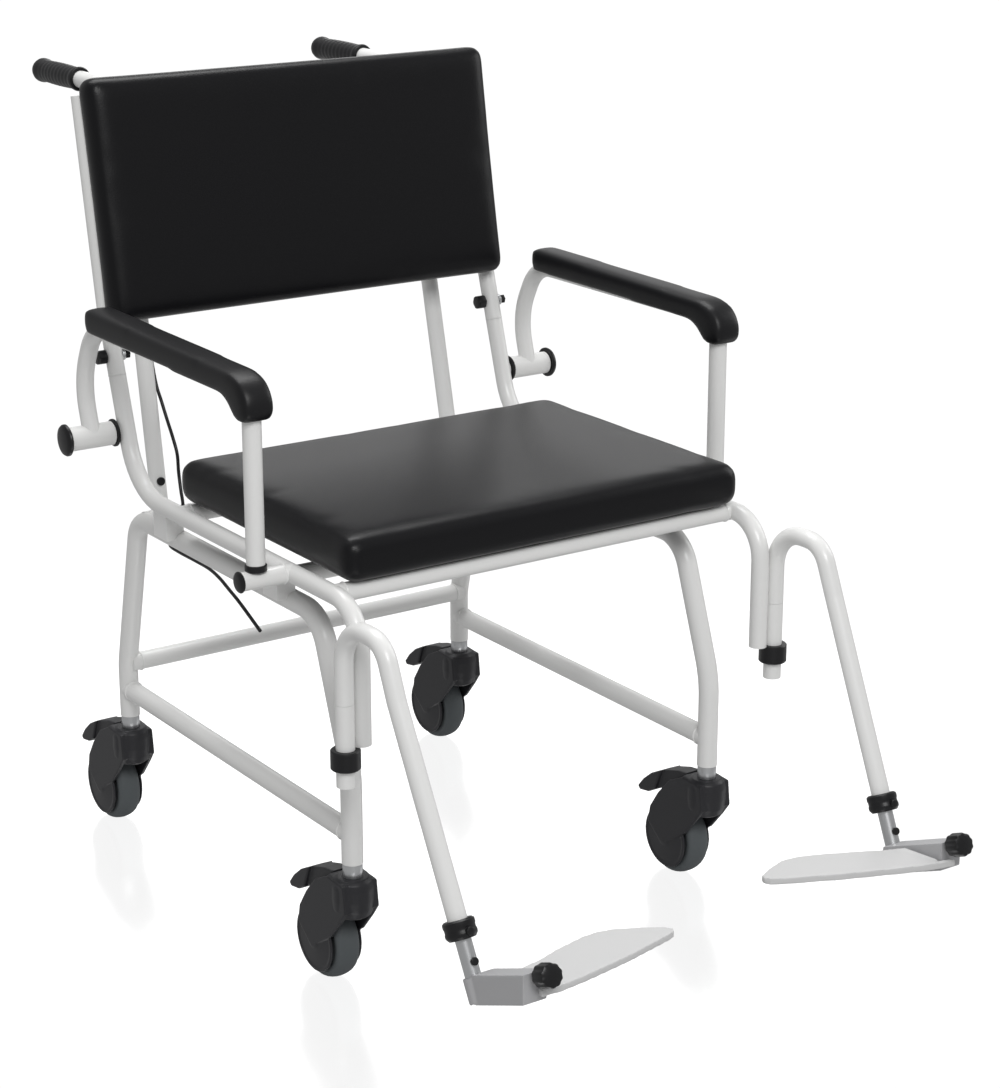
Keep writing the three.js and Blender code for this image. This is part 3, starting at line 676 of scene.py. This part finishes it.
# ---- armrests ---------------------------------------------------------------------------------
def armrest(name, side):
    x = side * ARM_X
    body = f"armrest_{name}"
    corners = [
        (x, ARM_PIVOT[0] - 0.004, ARM_PIVOT[1]),
        (x, ARM_PIVOT[0] + 0.016, 0.640, 0.090),
        (x, 0.270, 0.716, 0.056),
        (x, ARM_POST_Y, 0.716, 0.030),
        (x, ARM_POST_Y, STUB_Z + FRAME_TUBE_R + 0.0025),
    ]
    barrel = [(0, 0), (0.0140, 0), (0.0150, 0.001), (0.0150, 0.059), (0.0140, 0.060), (0, 0.060)]
    tube = from_parts(
        f"arm_tube_bar_{name}",
        bar(corners, FRAME_TUBE_R),
        turned(barrel, (side * BARREL_X[0], *ARM_PIVOT), (side, 0, 0)),
    )
    dress(tube, WHITE, body, [f"arm_tube_{name}"])
    pad = softened(f"arm_pad_skin_{name}", f"arm_pad_{name}", 0.0028, 90)
    dress(pad, FOAM, body, [f"arm_pad_{name}"])
    foot_z = STUB_Z + FRAME_TUBE_R
    collar = [(0, 0), (0.0118, 0), (0.0128, 0.0010), (0.0128, 0.0070), (0.0118, 0.0080), (0, 0.0080)]
    saddle = from_parts(
        f"arm_saddle_{name}",
        turned(collar, (x, ARM_POST_Y, foot_z - 0.001), (0, 0, 1)),
    )
    dress(saddle, BLACK, body, [f"arm_post_saddle_{name}"])
    cap = [
        (0, 0), (0.0190, 0), (0.0200, 0.0008), (0.0200, 0.0030), (0.0185, 0.0052), (0.0130, 0.0070), (0, 0.0078),
    ]
    start = (side * (BARREL_X[1] + 0.0008), *ARM_PIVOT)
    end = from_parts(f"arm_shaft_cap_{name}", turned(cap, start, (side, 0, 0), 56))
    dress(end, BLACK, "frame", [f"arm_pivot_cap_{name}"])


for side_name, sign in SIDES.items():
    armrest(side_name, sign)


# ---- footrests --------------------------------------------------------------------------------
ARCH_TOP_Z = 0.487
ARCH_R = 0.049
KNEE = (-0.3795, 0.428)                       # Y, Z
FOOT_SLOPE = math.radians(25.8)
HANGER_RUN = 0.254
TOE_IN = 0.008
BRACKET_TILT = math.radians(23)


def slope_down(side):
    run = Vector((-side * TOE_IN, -HANGER_RUN * math.sin(FOOT_SLOPE), -HANGER_RUN * math.cos(FOOT_SLOPE)))
    return run.normalized()


def along_hanger(side, distance):
    return Vector((side * HANGER_X, *KNEE)) + slope_down(side) * distance


def hanger(name, side):
    x = side * HANGER_X
    corners = [
        (x, HANGER_Y, HANGER_SEAM_Z),
        (x, HANGER_Y, ARCH_TOP_Z, ARCH_R - 0.001),
        (x, HANGER_Y - 2 * ARCH_R + 0.015, ARCH_TOP_Z, ARCH_R - 0.014),
        (x, *KNEE, 0.060),
        along_hanger(side, HANGER_RUN)[:],
    ]
    body = f"hanger_{name}"
    tube = from_parts(f"hanger_tube_bar_{name}", bar(corners, FRAME_TUBE_R))
    dress(tube, WHITE, body, [f"hanger_tube_{name}"])
    rings = [
        (0, -0.016), (0.0155, -0.016), (0.0178, -0.0142), (0.0180, -0.010), (0.0172, -0.0075),
        (0.0172, -0.0045), (0.0180, -0.002), (0.0178, 0.0012), (0.0150, 0.005), (0, 0.005),
    ]
    screw_at = along_hanger(side, HANGER_RUN - 0.006) + Vector((0, -0.0155, 0.004))
    collar = from_parts(
        f"clamp_collar_ring_{name}",
        turned(rings, along_hanger(side, HANGER_RUN), slope_down(side)),
        turned(disc(0.0045, 0.006, 0.001), screw_at, (0, -1, 0.3), 16),
    )
    dress(collar, BLACK, body, [f"clamp_collar_{name}"])


def foot(name, side):
    body = f"foot_{name}"
    inside = along_hanger(side, HANGER_RUN - 0.150)
    lower = along_hanger(side, HANGER_RUN + 0.074)
    tube = from_parts(f"extension_tube_bar_{name}", bar([inside[:], lower[:]], SPIGOT_R, 28))
    dress(tube, ZINC, body, [f"extension_tube_{name}"])
    bracket = softened(f"foot_bracket_moulding_{name}", f"foot_bracket_{name}", 0.0011, 5)
    dress(bracket, BLOCK, body, [f"foot_bracket_{name}"])
    screw_at = along_hanger(side, HANGER_RUN + 0.030) + Vector((0, -0.0085, 0.004))
    head = turned(disc(0.0045, 0.004, 0.0008), screw_at, (0, -1, 0.4), 20)
    screw = from_parts(f"extension_screw_{name}", head)
    dress(screw, BLACK, body)
    direction = Vector((0, -math.cos(BRACKET_TILT), math.sin(BRACKET_TILT)))
    base = Vector((side * 0.286, -0.6133, 0.199))
    knob = from_parts(
        f"foot_knob_{name}_moulding",
        lobed_knob(0.0137, 0.0218, 10, direction, base + direction * 0.006),
        bar([(base - direction * 0.016)[:], (base + direction * 0.008)[:]], 0.004, 20),
    )
    dress(knob, BLACK, f"foot_knob_{name}", [f"foot_knob_{name}"])
    plate = softened(f"footplate_moulding_{name}", f"footplate_{name}", 0.0014, 5)
    dress(plate, PALE, f"footplate_{name}", [f"footplate_{name}"])


for side_name, sign in SIDES.items():
    hanger(side_name, sign)
    foot(side_name, sign)


# ---- casters ----------------------------------------------------------------------------------
CASTER_VOXEL = 0.0010


def caster_wheel(end, name, x, y):
    """Rounded tyre on a flat disc with a raised rim."""
    centre = Vector((x, y + TRAIL, WHEEL_R))
    shoulder = []
    for k in range(13):
        angle = math.pi * k / 12
        shoulder.append((WHEEL_R - 0.007 + 0.007 * math.sin(angle), -TYRE_HALF * math.cos(angle) * 0.98))
    profile = [
        (0, -0.0125), (0.036, -0.0125), (0.0365, -0.0140), (0.040, -TYRE_HALF), *shoulder,
        (0.040, TYRE_HALF), (0.0365, 0.0140), (0.036, 0.0125), (0, 0.0125),
    ]
    wheel = from_parts(f"tyre_{end}_{name}", turned(profile, centre, (1, 0, 0), 96))
    dress(wheel, TYRE, f"wheel_{end}_{name}", [f"caster_wheel_{end}_{name}"])


def caster_fork(end, name, x, y):
    """Hood about the stem, a cheek each side down to a big wheel cover, and a zinc stem ring."""
    axle = Vector((x, y + TRAIL, WHEEL_R))
    hood = [
        (0, 0.098), (0.0150, 0.098), (0.0215, 0.102), (0.0240, 0.110), (0.0248, 0.122),
        (0.0246, 0.136), (0.0228, 0.144), (0.0185, 0.148), (0, 0.149),
    ]
    cheek = [
        (y - 0.020, 0.112), (y - 0.008, 0.096), (y + 0.014, 0.070), (y + 0.060, 0.040), (y + 0.090, 0.062),
        (y + 0.086, 0.084), (y + 0.070, 0.108), (y + 0.048, 0.132), (y + 0.020, 0.146), (y - 0.016, 0.144),
    ]
    cover = [
        (0, 0), (0.0400, 0), (0.0405, 0.0010), (0.0400, 0.0028), (0.0385, 0.0034), (0.0365, 0.0030),
        (0.0350, 0.0022), (0.0120, 0.0040), (0.0085, 0.0050), (0, 0.0052),
    ]
    shell = [
        (y - 0.020, 0.112), (y - 0.008, 0.103), (y + 0.022, 0.108), (y + 0.022, 0.147), (y - 0.016, 0.145),
    ]
    parts = [turned(hood, (x, y, 0), (0, 0, 1), 64)]
    for way in (-1, 1):
        parts.append(turned(cover, axle + Vector((way * 0.0182, 0, 0)), (way, 0, 0), 96))
        parts.append(prism(cheek, 0.0026, x + way * 0.0208, 0.0010))
    parts.append(prism(shell, 0.0225, x, 0.0030))
    fork = moulded(from_parts("fork_parts", *parts), CASTER_VOXEL, 5)
    fork.name = f"fork_moulding_{end}_{name}"
    dress(fork, HOUSING, f"caster_{end}_{name}", [f"caster_fork_{end}_{name}"])
    ring = from_parts(f"stem_ring_{end}_{name}", turned(disc(0.0118, 0.0165, 0.001), (x, y, 0.148), (0, 0, 1)))
    dress(ring, ZINC, f"caster_{end}_{name}")


def brake_pedal(end, name, x, y):
    """Beak-shaped pedal that widens towards its tip."""
    side = [
        (0.026, 0.122), (0.026, 0.147), (0.046, 0.144), (0.072, 0.136), (0.094, 0.125), (0.110, 0.112),
        (0.121, 0.099), (0.117, 0.094), (0.099, 0.097), (0.084, 0.106), (0.060, 0.114),
    ]
    root = prism([(y + a, b) for a, b in side], 0.0125, x, 0.002)
    tip = prism([(y + a, b) for a, b in side[3:10]], 0.0170, x, 0.002)
    pedal = moulded(from_parts("pedal_parts", root, tip), CASTER_VOXEL, 8)
    pedal.name = f"pedal_moulding_{end}_{name}"
    dress(pedal, HOUSING, f"pedal_{end}_{name}", [f"brake_pedal_{end}_{name}"])


for end_name, swivel_y in ENDS.items():
    for side_name, sign in SIDES.items():
        caster_wheel(end_name, side_name, sign * LEG_X, swivel_y)
        caster_fork(end_name, side_name, sign * LEG_X, swivel_y)
        brake_pedal(end_name, side_name, sign * LEG_X, swivel_y)


# ---- cable ------------------------------------------------------------------------------------
CABLE_R = 0.0022
CABLE_ROUTE = [
    (-0.206, 0.372, 0.655), (-0.206, 0.357, 0.610), (-0.206, 0.343, 0.588), (-0.206, 0.328, 0.565),
    (-0.208, 0.311, 0.547), (-0.208, 0.301, 0.528), (-0.208, 0.299, 0.505), (-0.210, 0.291, 0.484),
    (-0.215, 0.277, 0.465), (-0.228, 0.264, 0.450), (-0.246, 0.250, 0.438), (-0.258, 0.232, 0.4335),
    (-0.261, 0.205, 0.433), (-0.261, 0.160, 0.433), (-0.262, 0.122, 0.433), (-0.266, 0.088, 0.431),
    (-0.270, 0.055, 0.425), (-0.272, 0.028, 0.418), (-0.273, -0.023, 0.397),
]


def smooth_route(points, steps=6):
    """Catmull-Rom line through the points."""
    at = [Vector(p) for p in points]
    ends = [at[0] * 2 - at[1], *at, at[-1] * 2 - at[-2]]
    line = []
    for a, b, c, d in zip(ends, ends[1:], ends[2:], ends[3:]):
        for k in range(steps):
            t = k / steps
            line.append(0.5 * (2 * b + (c - a) * t + (2 * a - 5 * b + 4 * c - d) * t ** 2
                               + (3 * b - a - 3 * c + d) * t ** 3))
    line.append(at[-1])
    return line


def handle_cable():
    line = smooth_route(CABLE_ROUTE)
    data = bpy.data.curves.new("handle_cable_sheath", "CURVE")
    data.dimensions = "3D"
    data.bevel_depth = CABLE_R
    data.bevel_resolution = 4
    data.use_fill_caps = True
    spline = data.splines.new("POLY")
    spline.points.add(len(line) - 1)
    for target, point in zip(spline.points, line):
        target.co = (*point, 1)
    cable = new_object("handle_cable_sheath", data)
    dress(cable, BLACK, "frame", ["handle_cable"])


handle_cable()


# ---- stage and light --------------------------------------------------------------------------
def make_floor():
    """White floor that shows a faint soft reflection; the camera sees it brighter than the chair does."""
    bm = bmesh.new()
    bmesh.ops.create_grid(bm, x_segments=1, y_segments=1, size=60)
    mesh = bpy.data.meshes.new("floor")
    bm.to_mesh(mesh)
    bm.free()
    floor = new_object("floor", mesh)
    floor.location.z = -0.0005
    material = bpy.data.materials.new("floor_white")
    material.use_nodes = True
    tree = material.node_tree
    tree.nodes.clear()
    ray = tree.nodes.new("ShaderNodeLightPath")
    level = tree.nodes.new("ShaderNodeMapRange")
    level.inputs["To Min"].default_value = 0.42
    level.inputs["To Max"].default_value = 1.44
    glow = tree.nodes.new("ShaderNodeEmission")
    gloss = tree.nodes.new("ShaderNodeBsdfGlossy")
    gloss.inputs["Color"].default_value = (1, 1, 1, 1)
    gloss.inputs["Roughness"].default_value = 0.18
    mix = tree.nodes.new("ShaderNodeMixShader")
    mix.inputs["Fac"].default_value = 0.38
    out = tree.nodes.new("ShaderNodeOutputMaterial")
    tree.links.new(ray.outputs["Is Camera Ray"], level.inputs["Value"])
    tree.links.new(level.outputs["Result"], glow.inputs["Strength"])
    tree.links.new(glow.outputs["Emission"], mix.inputs[1])
    tree.links.new(gloss.outputs["BSDF"], mix.inputs[2])
    tree.links.new(mix.outputs["Shader"], out.inputs["Surface"])
    mesh.materials.append(material)


def make_world():
    world = bpy.data.worlds.new("studio")
    world.use_nodes = True
    world.node_tree.nodes["Background"].inputs["Color"].default_value = (1, 1, 1, 1)
    world.node_tree.nodes["Background"].inputs["Strength"].default_value = 0.36
    bpy.context.scene.world = world
    bpy.context.scene.view_settings.view_transform = "Standard"


def softbox(name, place, aim_at, size, power):
    data = bpy.data.lights.new(name, "AREA")
    data.shape = "RECTANGLE"
    data.size = size[0]
    data.size_y = size[1]
    data.energy = power
    lamp = bpy.data.objects.new(name, data)
    lamp.location = place
    lamp.visible_camera = False
    lamp.rotation_mode = "QUATERNION"
    lamp.rotation_quaternion = (Vector(aim_at) - Vector(place)).to_track_quat("-Z", "Y")
    bpy.context.scene.collection.objects.link(lamp)


make_floor()
make_world()
softbox("key", (-1.2, -3.0, 3.0), (0, 0, 0.5), (1.8, 1.4), 75)
softbox("fill", (2.8, -0.6, 1.8), (0, 0, 0.5), (1.2, 1.6), 18)
softbox("top", (0.1, 1.0, 3.2), (0, 0, 0.6), (2.4, 1.4), 60)
softbox("sheen", (2.5, 3.7, 1.9), (0, 0, 0.56), (2.6, 1.2), 11)
